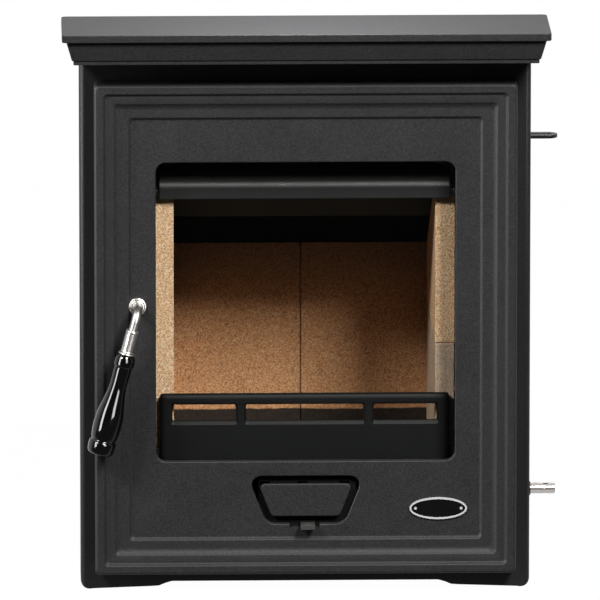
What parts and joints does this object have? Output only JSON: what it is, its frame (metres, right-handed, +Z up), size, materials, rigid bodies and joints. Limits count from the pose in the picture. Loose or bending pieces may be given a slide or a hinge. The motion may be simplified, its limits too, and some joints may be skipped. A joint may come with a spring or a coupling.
{
  "type": "cast-iron inset stove",
  "caption": "Cast-iron inset wood stove with a hinged glass door, a brick-lined firebox, a turning latch handle, two air controls and a riddling grate.",
  "frame": {"origin": "on the hearth, in the wall plane that the front casting stands against, at the middle of the stove's width", "axes": "+X to the right of a person facing the stove, +Y into the fireplace, +Z up; the door faces -Y"},
  "size_m": [0.4971, 0.363, 0.5785],
  "materials": {
    "stove_iron": "matt heat-proof paint on sand-cast iron",
    "dark_steel": "matt black, lightly oxidised steel",
    "bright_steel": "turned and polished steel",
    "fire_brick": "pressed vermiculite board with flakes and small chips",
    "grip_black": "glossy black heat-resistant grip",
    "glass": "clear heat-resistant ceramic glass",
    "seal_rope": "knitted glass-fibre rope"
  },
  "bodies": {
    "stove_body": {"front_casting": "stove_iron", "top_plate": "stove_iron", "top_plate_bolts": "dark_steel", "base_casting": "stove_iron", "side_casting_left": "stove_iron", "side_casting_right": "stove_iron", "back_casting": "stove_iron", "firebox_top": "stove_iron", "body_bolts": "dark_steel", "frame_bolts": "dark_steel", "flue_collar": "stove_iron", "collar_bolts": "dark_steel", "rear_feet": "dark_steel", "wall_rope": "seal_rope", "hinge_pins": "dark_steel", "rod_bush": "dark_steel", "side_brick_left": "fire_brick", "side_brick_right_lower": "fire_brick", "side_brick_right_upper": "fire_brick", "rear_brick_left": "fire_brick", "rear_brick_right": "fire_brick", "baffle": "dark_steel", "grate": "stove_iron", "grate_rails": "dark_steel", "fuel_sill": "stove_iron", "log_guard": "stove_iron", "air_deflector": "stove_iron", "air_wash_shelf": "stove_iron", "ash_pan": "dark_steel"},
    "door": {"door_casting": "stove_iron", "door_glass": "glass", "glass_tape": "seal_rope", "glass_clips": "dark_steel", "clip_screws": "bright_steel", "door_rope": "seal_rope", "badge_plate": "dark_steel", "badge_rim": "bright_steel", "badge_rivets": "bright_steel", "latch_boss": "bright_steel", "air_inlet_pad": "stove_iron", "air_inlet_frame": "stove_iron", "inlet_screws": "bright_steel"},
    "latch": {"latch_spindle": "bright_steel", "latch_cam": "dark_steel", "latch_nut": "dark_steel", "handle_ferrule": "bright_steel", "handle_ring": "bright_steel", "handle_grip": "grip_black"},
    "primary_air": {"primary_air_slide": "dark_steel"},
    "air_wash": {"air_wash_bar": "dark_steel"},
    "riddler": {"riddling_rod": "bright_steel", "riddling_grate": "dark_steel"}
  },
  "joints": [
    {"name": "door_hinge", "type": "hinge", "parent": "stove_body", "child": "door", "pos_m": [0.205, -0.057, 0.2704], "axis": [0, 0, 1], "range_deg": [0, 100]},
    {"name": "latch_turn", "type": "hinge", "parent": "door", "child": "latch", "pos_m": [-0.1684, -0.061, 0.294], "axis": [0, -1, 0], "range_deg": [-60, 25]},
    {"name": "primary_air_travel", "type": "slide", "parent": "door", "child": "primary_air", "axis": [1, 0, 0], "range_m": [-0.01, 0.004]},
    {"name": "air_wash_travel", "type": "slide", "parent": "stove_body", "child": "air_wash", "axis": [1, 0, 0], "range_m": [-0.012, 0.018]},
    {"name": "riddle_travel", "type": "slide", "parent": "stove_body", "child": "riddler", "axis": [1, 0, 0], "range_m": [0, 0.02]}
  ]
}
